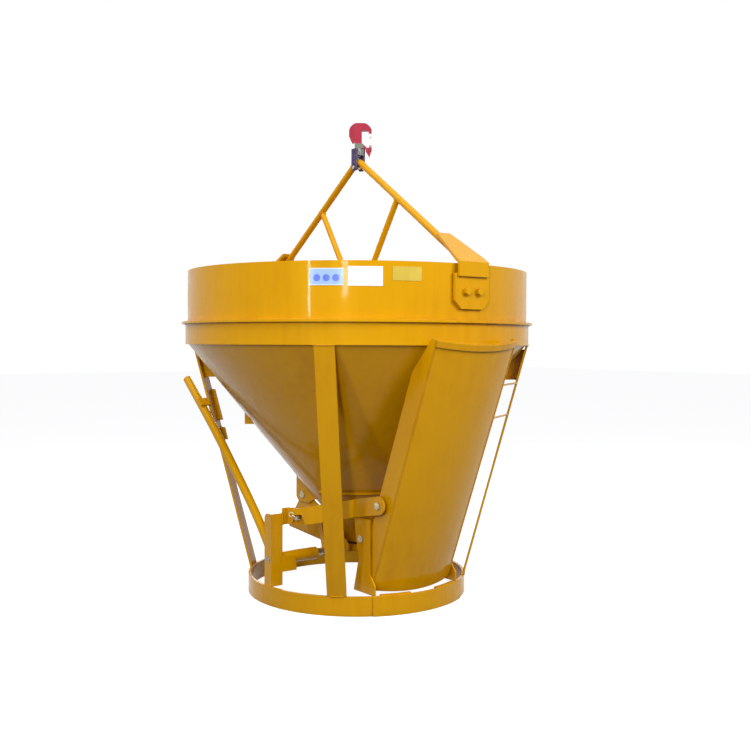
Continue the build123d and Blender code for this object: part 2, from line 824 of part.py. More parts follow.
# Welded lugs: the stop that the raised lever comes against, two inside the leg, one on the cone
stop_thickness = 8.0
stop_length = 44.0
stop_bite = 9.0
stop_along = 75.0
stop_normal = Vector(last_run.Z, 0, -last_run.X).normalized()
stop_centre = lever_pass + last_run * stop_along + stop_normal * (lever_radius + seat_gap)
leg_middle_y = (leg_inner_at(stop_centre.Z) + leg_thickness / 2) * sin(radians(45))
stop_root = leg_middle_y + leg_width / 2 * cos(radians(45)) - stop_bite
stop_inner = -stop_centre.Y - stop_root
with BuildPart() as lever_stop:
    with BuildSketch(Plane(origin=stop_centre, x_dir=last_run, z_dir=stop_normal)):
        with Locations((0, (lever_radius - stop_inner) / 2)):
            Rectangle(stop_length, lever_radius + stop_inner)
    extrude(amount=stop_thickness)
    add(leg_parts["leg_back_left"], mode=Mode.SUBTRACT)
lever_stop.part.label = "lever_stop"
export_step(lever_stop.part, "parts/lever_stop.step")

leg_lug_thickness = 12.0
leg_lug_depth = 16.0
leg_lug_spans = ((655.0, 712.0), (745.0, 888.0))
cone_lug_z = 765.0
cone_lug_size = 26.0
cone_lug_angle = -125.0
with BuildPart() as cone_lug:
    with BuildSketch(radial_plane(cone_lug_angle)):
        with Locations((cone_radius_at(cone_lug_z), cone_lug_z)):
            Rectangle(2 * cone_lug_size, 2 * cone_lug_size)
    extrude(amount=cone_lug_size / 2, both=True)
    add(cone_space.part, mode=Mode.SUBTRACT)
with BuildPart() as welded_lugs:
    for low, high in leg_lug_spans:
        with BuildSketch(radial_plane(-135).offset(leg_width / 2 - leg_lug_thickness)):
            Polygon(
                (leg_inner_at(low), low),
                (leg_inner_at(high), high),
                (leg_inner_at(high) - leg_lug_depth, high),
                (leg_inner_at(low) - leg_lug_depth, low),
                align=None,
            )
        extrude(amount=leg_lug_thickness)
    add(cone_lug.part)
welded_lugs.part.label = "welded_lugs"
export_step(welded_lugs.part, "parts/welded_lugs.step")

# Chute in its folded place. Along runs up the floor, inward points at the bucket.
lean = asin((rim_radius + chute_mouth_reach - chute_low_x) / chute_length)
chute_along = Vector(sin(lean), 0, cos(lean))
chute_inward = Vector(-cos(lean), 0, sin(lean))
chute_low = Vector(chute_low_x, 0, chute_low_z)
chute_section = Plane(origin=chute_low, x_dir=(0, 1, 0), z_dir=chute_along)
floor_half = chute_half_width - chute_wall


def chute_point(along, inward):
    """Point of the chute's side view, as x and z."""
    place = chute_low + chute_along * along + chute_inward * inward
    return (place.X, place.Z)


def curved_strip(near, far):
    """Face of the section between two copies of the floor's curve."""
    with BuildSketch() as face:
        with BuildLine():
            ThreePointArc((-floor_half, near), (0, near - chute_bulge), (floor_half, near))
            Line((floor_half, near), (floor_half, far))
            ThreePointArc((floor_half, far), (0, far - chute_bulge), (-floor_half, far))
            Line((-floor_half, far), (-floor_half, near))
        make_face()
    return face.sketch


with BuildPart() as chute_floor:
    with BuildSketch(chute_section):
        add(curved_strip(0, chute_wall))
    extrude(amount=chute_length)
chute_floor.part.label = "chute_floor"
export_step(chute_floor.part, "parts/chute_floor.step")

mouth_strip_width = 26.0
mouth_strip_thickness = 8.0
mouth_plane = chute_section.offset(chute_length - mouth_strip_width)
with BuildPart() as chute_mouth_strip:
    with BuildSketch(mouth_plane):
        add(curved_strip(-mouth_strip_thickness, 0))
    extrude(amount=mouth_strip_width)
chute_mouth_strip.part.label = "chute_mouth_strip"
export_step(chute_mouth_strip.part, "parts/chute_mouth_strip.step")

chute_boss = 28.0
pivot_from_low = Vector(chute_pivot_x, 0, chute_pivot_z) - chute_low
pivot_along = pivot_from_low.dot(chute_along)
pivot_inward = pivot_from_low.dot(chute_inward)
with BuildPart() as chute_side:
    with BuildSketch(side_plane(-floor_half)):
        Polygon(
            chute_point(0, 0),
            chute_point(chute_length, 0),
            chute_point(chute_length, chute_depth_mouth),
            chute_point(chute_high_at, chute_depth_high),
            chute_point(0, chute_depth_low),
            align=None,
        )
        Polygon(
            chute_point(pivot_along - 3 * chute_boss, chute_depth_high / 2),
            chute_point(pivot_along + 3 * chute_boss, chute_depth_high / 2),
            chute_point(pivot_along + chute_boss, pivot_inward),
            chute_point(pivot_along - chute_boss, pivot_inward),
            align=None,
        )
        with Locations((chute_pivot_x, chute_pivot_z)):
            Circle(chute_boss)
            Circle(chute_bolt_radius + pin_play, mode=Mode.SUBTRACT)
        with Locations((stay_bolt_x, stay_bolt_z)):
            Circle(chute_bolt_radius + pin_play, mode=Mode.SUBTRACT)
    extrude(amount=chute_wall)
with BuildPart() as chute_sides:
    add(chute_side.part)
    mirror(chute_side.part, about=Plane.XZ)
chute_sides.part.label = "chute_sides"
export_step(chute_sides.part, "parts/chute_sides.step")

# Uprights on the ring that carry the chute's pivot bolts
upright_y = -(chute_half_width + side_gap)
upright_foot_x = sqrt(ring_radius**2 - (chute_half_width + side_gap + upright_plate) ** 2) - 2
upright_left_x = upright_outer_x - 112.0
upright_waist_x = upright_outer_x - 78.0
upright_waist_z = 215.0
with BuildPart() as upright:
    with BuildSketch(side_plane(upright_y)):
        Polygon(
            (upright_left_x, ring_height),
            (upright_foot_x, ring_height),
            (upright_foot_x, 1.5 * ring_height),
            (upright_outer_x, 2 * ring_height),
            (upright_outer_x, upright_top),
            (upright_left_x, upright_top),
            (upright_waist_x, upright_waist_z),
            align=None,
        )
        with Locations((chute_pivot_x, chute_pivot_z)):
            Circle(chute_bolt_radius + pin_play, mode=Mode.SUBTRACT)
    extrude(amount=upright_plate)
with BuildPart() as chute_uprights:
    add(upright.part)
    mirror(upright.part, about=Plane.XZ)
chute_uprights.part.label = "chute_uprights"
export_step(chute_uprights.part, "parts/chute_uprights.step")

chute_nut_height = 10.0
chute_head_height = 8.0
upright_face_y = upright_y - upright_plate
chute_grip = -floor_half - upright_face_y + side_gap / 3 + chute_nut_height
chute_bolt = hex_bolt(
    (chute_pivot_x, upright_face_y, chute_pivot_z),
    (0, -1, 0),
    chute_bolt_radius,
    bolt_head_radius,
    chute_head_height,
    chute_grip,
)
chute_nut = hex_nut(
    (chute_pivot_x, -floor_half + side_gap / 3, chute_pivot_z),
    (0, 1, 0),
    chute_bolt_radius + pin_play,
    bolt_head_radius,
    chute_nut_height,
)
# Stay bar: straight beside the chute, then turned in plan to reach the post
stay_y = upright_face_y - side_gap
stay_face_y = stay_y - stay_plate
stay_bend_z = stay_bolt_z - stay_drop * (stay_bolt_x - stay_bend_x)
stay_half = stay_height / 2
stay_turn = radians(stay_angle)
stay_plane = Plane(
    origin=(stay_bend_x, stay_y, 0),
    x_dir=(-cos(stay_turn), -sin(stay_turn), 0),
    z_dir=(-sin(stay_turn), cos(stay_turn), 0),
)
stay_end_z = stay_bend_z - stay_drop * stay_reach
stay_pin_at = stay_reach - stay_pin_back
stay_pin_z = stay_bend_z - stay_drop * stay_pin_at
notch_half = stay_pin_radius + notch_side_play
notch_top_z = stay_pin_z + stay_pin_radius + notch_top_play
notch_low_z = stay_pin_z - stay_height
notch_mouth = notch_half + tan(radians(notch_flare)) * (notch_top_z - notch_low_z)
with BuildPart() as stay_bar:
    with BuildSketch(side_plane(stay_y)):
        Polygon(
            (stay_bend_x, stay_bend_z - stay_half),
            (stay_bolt_x, stay_bolt_z - stay_half),
            (stay_bolt_x, stay_bolt_z + stay_half),
            (stay_bend_x, stay_bend_z + stay_half),
            align=None,
        )
        with Locations((stay_bolt_x, stay_bolt_z)):
            Circle(stay_half)
            Circle(chute_bolt_radius + pin_play, mode=Mode.SUBTRACT)
    extrude(amount=stay_plate)
    with BuildSketch(stay_plane):
        Polygon(
            (0, stay_bend_z - stay_half),
            (0, stay_bend_z + stay_half),
            (stay_reach, stay_end_z + stay_half),
            (stay_reach, stay_end_z - stay_half),
            align=None,
        )
        Polygon(
            (stay_pin_at - notch_half, notch_top_z),
            (stay_pin_at + notch_half, notch_top_z),
            (stay_pin_at + notch_mouth, notch_low_z),
            (stay_pin_at - notch_mouth, notch_low_z),
            align=None,
            mode=Mode.SUBTRACT,
        )
    extrude(amount=-stay_plate)
stay_bar.part.label = "stay_bar"
export_step(stay_bar.part, "parts/stay_bar.step")

stay_bolt = hex_bolt(
    (stay_bolt_x, stay_face_y - side_gap / 3, stay_bolt_z),
    (0, -1, 0),
    chute_bolt_radius,
    bolt_head_radius,
    chute_head_height,
    side_gap / 3 - stay_face_y - floor_half + chute_nut_height,
)
stay_nut = hex_nut(
    (stay_bolt_x, -floor_half, stay_bolt_z),
    (0, 1, 0),
    chute_bolt_radius + pin_play,
    bolt_head_radius,
    chute_nut_height,
)
with BuildPart() as chute_bolts:
    add(stay_bolt)
    add(chute_bolt)
    mirror(chute_bolt, about=Plane.XZ)
chute_bolts.part.label = "chute_bolts"
export_step(chute_bolts.part, "parts/chute_bolts.step")

with BuildPart() as chute_nuts:
    add(stay_nut)
    add(chute_nut)
    mirror(chute_nut, about=Plane.XZ)
chute_nuts.part.label = "chute_nuts"
export_step(chute_nuts.part, "parts/chute_nuts.step")

with BuildPart() as stay_spacer:
    with BuildSketch(side_plane(-chute_half_width)):
        with Locations((stay_bolt_x, stay_bolt_z)):
            Circle(1.8 * chute_bolt_radius)
            Circle(chute_bolt_radius + pin_play, mode=Mode.SUBTRACT)
    extrude(amount=-chute_half_width - stay_y - seat_gap)
stay_spacer.part.label = "stay_spacer"
export_step(stay_spacer.part, "parts/stay_spacer.step")

# Lug behind the stay with an ear back to the post, its pin, and the clip that keeps the stay on the pin
lug_plate = 8.0
lug_back = 36.0
lug_beyond = 82.5
lug_start = stay_pin_at - lug_back
lug_end = stay_reach + lug_beyond
lug_far = lug_gap + lug_plate
lug_run = (stay_bend_x - lug_far * sin(stay_turn) - post_x - post_width) / cos(stay_turn)
lug_ear = stay_y - lug_run * sin(stay_turn) + lug_far * cos(stay_turn) - post_face_y - post_depth
with BuildPart() as post_space:
    with BuildSketch(Plane.XY):
        with Locations((post_x + post_width, post_face_y)):
            Rectangle(10 * post_width, 10 * post_depth, align=(Align.MAX, Align.CENTER))
    extrude(amount=2 * post_top)
with BuildPart() as stay_lug:
    with BuildSketch(stay_plane.offset(lug_gap)):
        with Locations(((lug_start + lug_end) / 2, stay_pin_z)):
            Rectangle(lug_end - lug_start, lug_height)
    extrude(amount=lug_plate)
    add(post_space.part, mode=Mode.SUBTRACT)
    with BuildSketch(Plane.XY.offset(stay_pin_z - lug_height / 2)):
        with Locations((post_side_x, post_face_y + post_depth)):
            Rectangle(post_wall, lug_ear, align=(Align.MIN, Align.MIN))
    extrude(amount=lug_height)
stay_lug.part.label = "stay_lug"
export_step(stay_lug.part, "parts/stay_lug.step")

clip_wire = 2.0
clip_gap = 20.0
clip_end = 8.0
pin_front = stay_plate + clip_gap + clip_end
clip_front = stay_plate + clip_gap
clip_tilt = radians(30)
clip_run = stay_plane.x_dir * cos(clip_tilt) + Vector(0, 0, 1) * sin(clip_tilt)
clip_place = Plane(
    origin=stay_plane.from_local_coords(Vector(stay_pin_at, stay_pin_z, -clip_front)),
    z_dir=clip_run,
)
with BuildPart() as stay_pin:
    with BuildSketch(stay_plane.offset(lug_gap)):
        with Locations((stay_pin_at, stay_pin_z)):
            Circle(stay_pin_radius)
    extrude(amount=-(lug_gap + pin_front))
    with BuildSketch(clip_place.offset(-2 * stay_pin_radius)):
        Circle(clip_wire + 2 * pin_play)
    extrude(amount=4 * stay_pin_radius, mode=Mode.SUBTRACT)
stay_pin.part.label = "stay_pin"
export_step(stay_pin.part, "parts/stay_pin.step")

clip_ring = 9.0
clip_ring_wire = 1.7
clip_back = 1.6 * stay_pin_radius
clip_leg = stay_pin_radius + 12.0
with BuildPart() as stay_clip:
    with BuildSketch(clip_place.offset(-clip_back)):
        Circle(clip_wire)
    extrude(amount=clip_back + clip_leg + 2 * clip_wire)
    ring_centre = clip_place.origin + clip_run * (clip_leg + clip_ring)
    with BuildSketch(Plane(origin=ring_centre + clip_run * clip_ring, z_dir=stay_plane.z_dir.cross(clip_run))):
        Circle(clip_ring_wire)
    revolve(axis=Axis(ring_centre, stay_plane.z_dir))
stay_clip.part.label = "stay_clip"
export_step(stay_clip.part, "parts/stay_clip.step")

# Two hook rods from the right leg towards the chute's side
hook_rod_radius = 4.0
hook_rod_gap = 3.0
hook_rod_heights = (795.0, 933.0)
rod_parts = []
for rod_z in hook_rod_heights:
    leg_r = leg_inner_at(rod_z) + leg_thickness / 2
    leg_x = leg_r * cos(radians(45)) + (leg_width / 2) * sin(radians(45))
    leg_y = leg_r * sin(radians(45)) - (leg_width / 2) * cos(radians(45))
    side_x = chute_point((rod_z - chute_low_z) / cos(lean), 0)[0] - chute_depth_high / 3
    rod_parts.append(
        rod((leg_x, leg_y, rod_z), (side_x, chute_half_width + hook_rod_gap, rod_z), hook_rod_radius)
        - leg_parts["leg_chute_right"]
    )
with BuildPart() as chute_hook_rods:
    for piece in rod_parts:
        add(piece)
chute_hook_rods.part.label = "chute_hook_rods"
export_step(chute_hook_rods.part, "parts/chute_hook_rods.step")

# Label plates on the rim, left bare
labels = {
    "label_blue": (-49.4, -39.6, 1319.0, 64.0),
    "label_white": (-38.3, -28.3, 1317.0, 73.0),
    "label_yellow": (-25.5, -16.8, 1338.0, 53.0),
}
for label_name, (start, end, low, height) in labels.items():
    with BuildPart() as label_plate:
        add(ring_segment(rim_radius, rim_radius + label_thickness, low, height, start, end))
    label_plate.part.label = label_name
    export_step(label_plate.part, f"parts/{label_name}.step")

# Shackle round the bail's apex, swivel block, and the self-locking hook above it
apex_drop = bail_bend_radius * (1 / bail_cos - 1)
apex_z = bail_apex_z - apex_drop
bail_under = apex_z - bail_bar_radius
shackle_width = 40.0
shackle_plate = 8.0
shackle_pin_radius = 8.0
shackle_pin_z = bail_under - shackle_pin_radius - seat_gap
shackle_inner = bail_bar_radius + seat_gap
shackle_low = shackle_pin_z - shackle_width / 3
block_lift = 16.0
block_height = 30.0
block_low = apex_z + bail_bar_radius + block_lift
block_top = block_low + block_height
with BuildPart() as shackle_side:
    with BuildSketch(side_plane(-shackle_inner)):
        with Locations((0, shackle_low)):
            Rectangle(shackle_width, block_top - shackle_low, align=(Align.CENTER, Align.MIN))
        with Locations((0, shackle_pin_z)):
            Circle(shackle_pin_radius + pin_play, mode=Mode.SUBTRACT)
    extrude(amount=shackle_plate)
    low_edges = shackle_side.edges().filter_by(Axis.Y).group_by(Axis.Z)[0]
    fillet(low_edges, radius=shackle_width / 3)
with BuildPart() as shackle_plates:
    add(shackle_side.part)
    mirror(shackle_side.part, about=Plane.XZ)
shackle_plates.part.label = "shackle_plates"
export_step(shackle_plates.part, "parts/shackle_plates.step")

shackle_outer = shackle_inner + shackle_plate
shackle_pin_proud = 5.0
with BuildPart() as shackle_pin:
    with BuildSketch(side_plane(shackle_outer + shackle_pin_proud)):
        with Locations((0, shackle_pin_z)):
            Circle(shackle_pin_radius)
    extrude(amount=2 * (shackle_outer + shackle_pin_proud))
shackle_pin.part.label = "shackle_pin"
export_step(shackle_pin.part, "parts/shackle_pin.step")

stem_radius = 8.0
stem_play = 1.0
with BuildPart() as swivel_block:
    with BuildSketch(Plane.XY.offset(block_low)):
        Rectangle(shackle_width, 2 * shackle_inner)
        Circle(stem_radius + pin_play, mode=Mode.SUBTRACT)
    extrude(amount=block_height)
swivel_block.part.label = "swivel_block"
export_step(swivel_block.part, "parts/swivel_block.step")

hook_angle = 54.5
hook_plane = radial_plane(hook_angle)
hook_thickness = 26.0
hook_low = block_top + stem_play
hook_neck = 24.0
hook_neck_width = 32.0
hook_foot = hook_low + hook_neck
hook_height = 88.0
hook_left = 41.0
hook_right = 60.0
hook_spine_right = 16.0
hook_arm = 34.0
hook_tip = 14.0
hook_tip_drop = 12.0
hook_round = 24.0
jaw_inner = hypot(shackle_width / 2, shackle_outer) + 2.5
jaw_top = hook_foot - 22.0
jaw_low = hook_low - 14.0
tail_low = hook_low - 42.0
tail_right = 50.0
hook_top = hook_foot + hook_height
tip_low = hook_top - hook_arm - hook_tip_drop

latch_gap = 1.2
latch_half = 5.0
latch_pin_radius = 3.0
latch_ear = 3.0
latch_ear_half = 6.0
latch_u = hook_right - latch_half - 1
latch_z = jaw_top + latch_gap + latch_half
latch_top = tip_low - latch_gap
hook_edge_round = 2.5
hook_back_round = 30.0


def on_hook_back(vertex):
    """True for the corners of the hook's round outer back."""
    return vertex.Y > hook_top - hook_round - 1 or vertex.X < 1 - hook_left


with BuildPart() as hook_body:
    with BuildSketch(hook_plane) as hook_profile:
        Polygon(
            (-hook_left, hook_foot + hook_round),
            (-hook_left, hook_top - hook_round),
            (-hook_left + hook_round, hook_top),
            (hook_right - hook_round, hook_top),
            (hook_right, hook_top - hook_round),
            (hook_right, tip_low),
            (hook_right - hook_tip, tip_low),
            (hook_right - hook_tip, hook_top - hook_arm),
            (hook_spine_right, hook_top - hook_arm),
            (hook_spine_right, hook_foot),
            (jaw_inner + hook_tip / 2, jaw_top),
            (hook_right, jaw_top),
            (hook_right, jaw_low),
            (tail_right, tail_low),
            (jaw_inner, jaw_low),
            (jaw_inner, hook_low),
            (-hook_neck_width / 2, hook_low),
            (-hook_neck_width / 2, hook_foot),
            (-hook_left + hook_round / 2, hook_foot),
            align=None,
        )
        inner_corners = [v for v in hook_profile.vertices() if not on_hook_back(v)]
        fillet(inner_corners, radius=hook_edge_round)
        back_corners = [v for v in hook_profile.vertices() if on_hook_back(v)]
        fillet(back_corners, radius=hook_back_round)
    extrude(amount=hook_thickness / 2, both=True)
    for side in (hook_thickness / 2, -hook_thickness / 2 - latch_ear):
        with BuildSketch(hook_plane.offset(side)):
            with Locations((latch_u, latch_z)):
                Circle(latch_ear_half)
            with Locations((latch_u, (latch_z + jaw_low) / 2)):
                Rectangle(2 * latch_ear_half, latch_z - jaw_low)
            with Locations((latch_u, latch_z)):
                Circle(latch_pin_radius + pin_play, mode=Mode.SUBTRACT)
        extrude(amount=latch_ear)
    with BuildSketch(Plane.XY.offset(hook_low + hook_neck / 2)):
        Circle(stem_radius)
    extrude(amount=-(hook_low + hook_neck / 2 - block_low + stem_play))
hook_body.part.label = "hook_body"
export_step(hook_body.part, "parts/hook_body.step")

stem_nut_height = 8.0
with BuildPart() as hook_stem_nut:
    with BuildSketch(Plane.XY.offset(block_low - stem_play)):
        RegularPolygon(1.8 * stem_radius, 6)
    extrude(amount=-stem_nut_height)
hook_stem_nut.part.label = "hook_stem_nut"
export_step(hook_stem_nut.part, "parts/hook_stem_nut.step")

with BuildPart() as hook_latch:
    with BuildSketch(hook_plane):
        with Locations((latch_u, latch_z)):
            Circle(latch_half)
        with Locations((latch_u, (latch_z + latch_top) / 2)):
            Rectangle(2 * latch_half, latch_top - latch_z)
    extrude(amount=hook_thickness / 2 - latch_gap, both=True)
    with BuildSketch(hook_plane):
        with Locations((latch_u, latch_z)):
            Circle(latch_pin_radius)
    extrude(amount=hook_thickness / 2 + latch_ear, both=True)
hook_latch.part.label = "hook_latch"
export_step(hook_latch.part, "parts/hook_latch.step")
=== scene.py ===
import math

import bmesh
import bpy
from mathutils import Matrix, Vector
from mathutils.bvhtree import BVHTree


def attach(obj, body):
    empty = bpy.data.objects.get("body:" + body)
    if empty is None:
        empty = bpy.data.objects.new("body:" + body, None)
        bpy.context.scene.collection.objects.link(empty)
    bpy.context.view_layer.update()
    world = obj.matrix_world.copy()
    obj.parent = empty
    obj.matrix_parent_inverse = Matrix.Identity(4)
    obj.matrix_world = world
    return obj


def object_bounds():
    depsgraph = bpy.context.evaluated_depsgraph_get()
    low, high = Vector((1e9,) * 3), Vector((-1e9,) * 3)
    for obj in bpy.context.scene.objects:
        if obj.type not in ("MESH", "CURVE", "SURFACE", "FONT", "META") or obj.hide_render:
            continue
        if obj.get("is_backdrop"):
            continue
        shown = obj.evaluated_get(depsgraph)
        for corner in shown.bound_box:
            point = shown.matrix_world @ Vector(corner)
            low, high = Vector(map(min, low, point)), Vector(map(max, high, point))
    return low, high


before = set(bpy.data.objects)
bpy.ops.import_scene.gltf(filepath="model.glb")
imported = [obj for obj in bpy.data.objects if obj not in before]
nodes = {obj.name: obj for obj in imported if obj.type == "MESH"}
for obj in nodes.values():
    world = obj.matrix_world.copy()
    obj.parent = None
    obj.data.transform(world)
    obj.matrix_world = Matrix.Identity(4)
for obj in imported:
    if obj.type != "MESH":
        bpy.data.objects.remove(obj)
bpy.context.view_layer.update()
bpy.context.scene.view_settings.view_transform = "Standard"
print("frame loaded:", len(nodes), "nodes")


# camera at the photograph's place, read from the rim, the band and the base ring
camera = {
    "distance": 4.323,
    "height": 1.1049,
    "azimuth": -35.5,  # degrees round the axis from +X
    "yaw": 0.0184,
    "pitch": -0.0334,
    "roll": 0.0043,
    "lens": 46.04,
}


def makeCamera(spec):
    angle = math.radians(spec["azimuth"])
    outward = Vector((math.cos(angle), math.sin(angle), 0))
    toAxis = -outward
    sideways = Vector((-math.sin(angle), math.cos(angle), 0))
    forward = toAxis * math.cos(spec["yaw"]) + sideways * math.sin(spec["yaw"])
    forward = forward * math.cos(spec["pitch"]) + Vector((0, 0, math.sin(spec["pitch"])))
    forward.normalize()
    right = (sideways * math.cos(spec["yaw"]) - toAxis * math.sin(spec["yaw"])).normalized()
    up = right.cross(forward)
    c, s = math.cos(spec["roll"]), math.sin(spec["roll"])
    right, up = right * c + up * s, up * c - right * s
    data = bpy.data.cameras.new("photoCamera")
    data.lens = spec["lens"]
    data.sensor_width = 36
    data.clip_end = 100
    obj = bpy.data.objects.new("photoCamera", data)
    bpy.context.scene.collection.objects.link(obj)
    place = Matrix((right, up, -forward)).transposed().to_4x4()
    place.translation = outward * spec["distance"] + Vector((0, 0, spec["height"]))
    obj.matrix_world = place
    bpy.context.scene.camera = obj


makeCamera(camera)
print("camera placed")


# small helpers for node materials
def startMaterial(name):
    material = bpy.data.materials.new(name)
    material.use_nodes = True
    tree = material.node_tree
    shader = tree.nodes["Principled BSDF"]
    place = tree.nodes.new("ShaderNodeTexCoord")
    return material, tree, shader, place.outputs["Object"]


def stretched(tree, vector, scale, turn=(0, 0, 0), move=(0, 0, 0)):
    mapping = tree.nodes.new("ShaderNodeMapping")
    mapping.inputs["Scale"].default_value = scale
    mapping.inputs["Rotation"].default_value = turn
    mapping.inputs["Location"].default_value = move
    tree.links.new(vector, mapping.inputs["Vector"])
    return mapping.outputs["Vector"]


def noise(tree, vector, scale, detail=3.0, rough=0.5):
    tex = tree.nodes.new("ShaderNodeTexNoise")
    tex.inputs["Scale"].default_value = scale
    tex.inputs["Detail"].default_value = detail
    tex.inputs["Roughness"].default_value = rough
    tree.links.new(vector, tex.inputs["Vector"])
    return tex.outputs["Fac"]


def spread(tree, value, low, high, outLow=0.0, outHigh=1.0):
    node = tree.nodes.new("ShaderNodeMapRange")
    node.clamp = True
    node.inputs["From Min"].default_value = low
    node.inputs["From Max"].default_value = high
    node.inputs["To Min"].default_value = outLow
    node.inputs["To Max"].default_value = outHigh
    tree.links.new(value, node.inputs["Value"])
    return node.outputs["Result"]


def maths(tree, kind, a, b=None):
    node = tree.nodes.new("ShaderNodeMath")
    node.operation = kind
    for socket, value in zip(node.inputs, (a, b)):
        if value is None:
            continue
        if isinstance(value, (int, float)):
            socket.default_value = value
        else:
            tree.links.new(value, socket)
    return node.outputs["Value"]


def mixColour(tree, factor, first, second):
    node = tree.nodes.new("ShaderNodeMix")
    node.data_type = "RGBA"
    for socket, value in ((node.inputs["Factor"], factor), (node.inputs[6], first), (node.inputs[7], second)):
        if isinstance(value, (int, float)):
            socket.default_value = value
        elif isinstance(value, tuple):
            socket.default_value = (*value, 1)
        else:
            tree.links.new(value, socket)
    return node.outputs[2]


def bump(tree, height, strength, distance, normal=None):
    node = tree.nodes.new("ShaderNodeBump")
    node.inputs["Strength"].default_value = strength
    node.inputs["Distance"].default_value = distance
    tree.links.new(height, node.inputs["Height"])
    if normal is not None:
        tree.links.new(normal, node.inputs["Normal"])
    return node.outputs["Normal"]


def roundedNormal(tree, radius):
    node = tree.nodes.new("ShaderNodeBevel")
    node.samples = 4
    node.inputs["Radius"].default_value = radius
    return node.outputs["Normal"]


def edgeMask(tree, rounded):
    # 1 where the rounded normal leaves the face's own, at edges and corners
    geometry = tree.nodes.new("ShaderNodeNewGeometry")
    dot = tree.nodes.new("ShaderNodeVectorMath")
    dot.operation = "DOT_PRODUCT"
    tree.links.new(rounded, dot.inputs[0])
    tree.links.new(geometry.outputs["Normal"], dot.inputs[1])
    return spread(tree, dot.outputs["Value"], 0.995, 0.90)


def corners(tree, distance):
    node = tree.nodes.new("ShaderNodeAmbientOcclusion")
    node.samples = 6
    node.inputs["Distance"].default_value = distance
    return node.outputs["AO"]


# enamel paint on the steelwork
enamel = {
    "colour": (0.640, 0.310, 0.0003),
    "deep": (0.540, 0.235, 0.0003),
    # lighter edge colour: partly edge wear, partly a painted edge highlight
    "edgeWearAndHighlight": (0.780, 0.480, 0.060),
    # colour of the painted shade in corners and recesses
    "paintedShadeColour": (0.150, 0.062, 0.004),
    "roughness": 0.22,
    "peelScale": 420.0,
    "peelHeight": 0.00025,
    "glossTint": (1.0, 0.62, 0.08),
    "coat": 0.13,
}


def enamelMaterial(name, spec, cornerShade=0.55):
    material, tree, shader, place = startMaterial(name)
    clouds = noise(tree, place, 2.2, 4.0, 0.55)
    runs = noise(tree, stretched(tree, place, (14, 14, 1.6)), 2.0, 3.0, 0.5)
    tone = maths(tree, "MULTIPLY", spread(tree, clouds, 0.35, 0.70), spread(tree, runs, 0.30, 0.75))
    colour = mixColour(tree, tone, spec["colour"], spec["deep"])
    rounded = roundedNormal(tree, 0.0025)
    edge = edgeMask(tree, rounded)
    # lighter paint on edges in noise patches: partly edge wear, partly a painted edge highlight
    patches = spread(tree, noise(tree, place, 38.0, 5.0, 0.6), 0.52, 0.66)
    colour = mixColour(tree, maths(tree, "MULTIPLY", edge, maths(tree, "MULTIPLY", patches, 0.55)), colour, spec["edgeWearAndHighlight"])
    # painted shade: the paint is darkened towards a dark brown where ambient occlusion finds corners and recesses,
    # varied by noise; the same mask also raises the roughness there
    shade = spread(tree, corners(tree, 0.055), 0.72, 0.25)
    paintedCornerShade = maths(tree, "MULTIPLY", shade, spread(tree, noise(tree, place, 16.0, 4.0), 0.30, 0.62))
    colour = mixColour(tree, maths(tree, "MULTIPLY", paintedCornerShade, cornerShade), colour, spec["paintedShadeColour"])
    tree.links.new(colour, shader.inputs["Base Color"])
    smear = noise(tree, stretched(tree, place, (5, 5, 2)), 5.0, 4.0, 0.6)
    rough = spread(tree, smear, 0.3, 0.75, spec["roughness"] - 0.06, spec["roughness"] + 0.16)
    tree.links.new(maths(tree, "ADD", rough, maths(tree, "MULTIPLY", paintedCornerShade, 0.3)), shader.inputs["Roughness"])
    peel = noise(tree, place, spec["peelScale"], 2.0, 0.5)
    sag = noise(tree, stretched(tree, place, (1, 1, 0.5)), 22.0, 2.0, 0.5)
    normal = bump(tree, peel, 0.35, spec["peelHeight"], rounded)
    normal = bump(tree, sag, 0.25, 0.0012, normal)
    tree.links.new(normal, shader.inputs["Normal"])
    shader.inputs["Coat Weight"].default_value = spec["coat"]
    shader.inputs["Coat Roughness"].default_value = 0.05
    shader.inputs["IOR"].default_value = 1.28
    shader.inputs["Specular IOR Level"].default_value = 0.45
    shader.inputs["Specular Tint"].default_value = (*spec["glossTint"], 1)
    return material


metalFinishes = {
    "zincSteel": {"colour": (0.62, 0.56, 0.38), "tint": (0.40, 0.36, 0.27), "roughness": 0.34},
    "bareSteel": {"colour": (0.36, 0.34, 0.31), "tint": (0.20, 0.15, 0.10), "roughness": 0.38},
    "darkSteel": {"colour": (0.10, 0.065, 0.15), "tint": (0.03, 0.02, 0.05), "roughness": 0.42},
    "greySteel": {"colour": (0.21, 0.23, 0.17), "tint": (0.07, 0.06, 0.08), "roughness": 0.45},
}


def metalMaterial(name, spec, metallic=0.85):
    material, tree, shader, place = startMaterial(name)
    rounded = roundedNormal(tree, 0.0012)
    stains = spread(tree, noise(tree, place, 55.0, 4.0, 0.6), 0.38, 0.66)
    colour = mixColour(tree, stains, spec["colour"], spec["tint"])
    # painted edge highlight: the metal's colour is lightened along every edge and corner
    paintedEdgeHighlight = tuple(min(1.0, 1.5 * c + 0.05) for c in spec["colour"])
    colour = mixColour(tree, maths(tree, "MULTIPLY", edgeMask(tree, rounded), 0.6), colour, paintedEdgeHighlight)
    tree.links.new(colour, shader.inputs["Base Color"])
    grain = noise(tree, place, 600.0, 2.0)
    tree.links.new(
        spread(tree, stains, 0.0, 1.0, spec["roughness"] - 0.05, spec["roughness"] + 0.2), shader.inputs["Roughness"]
    )
    tree.links.new(bump(tree, grain, 0.3, 0.0002, rounded), shader.inputs["Normal"])
    shader.inputs["Metallic"].default_value = metallic
    return material


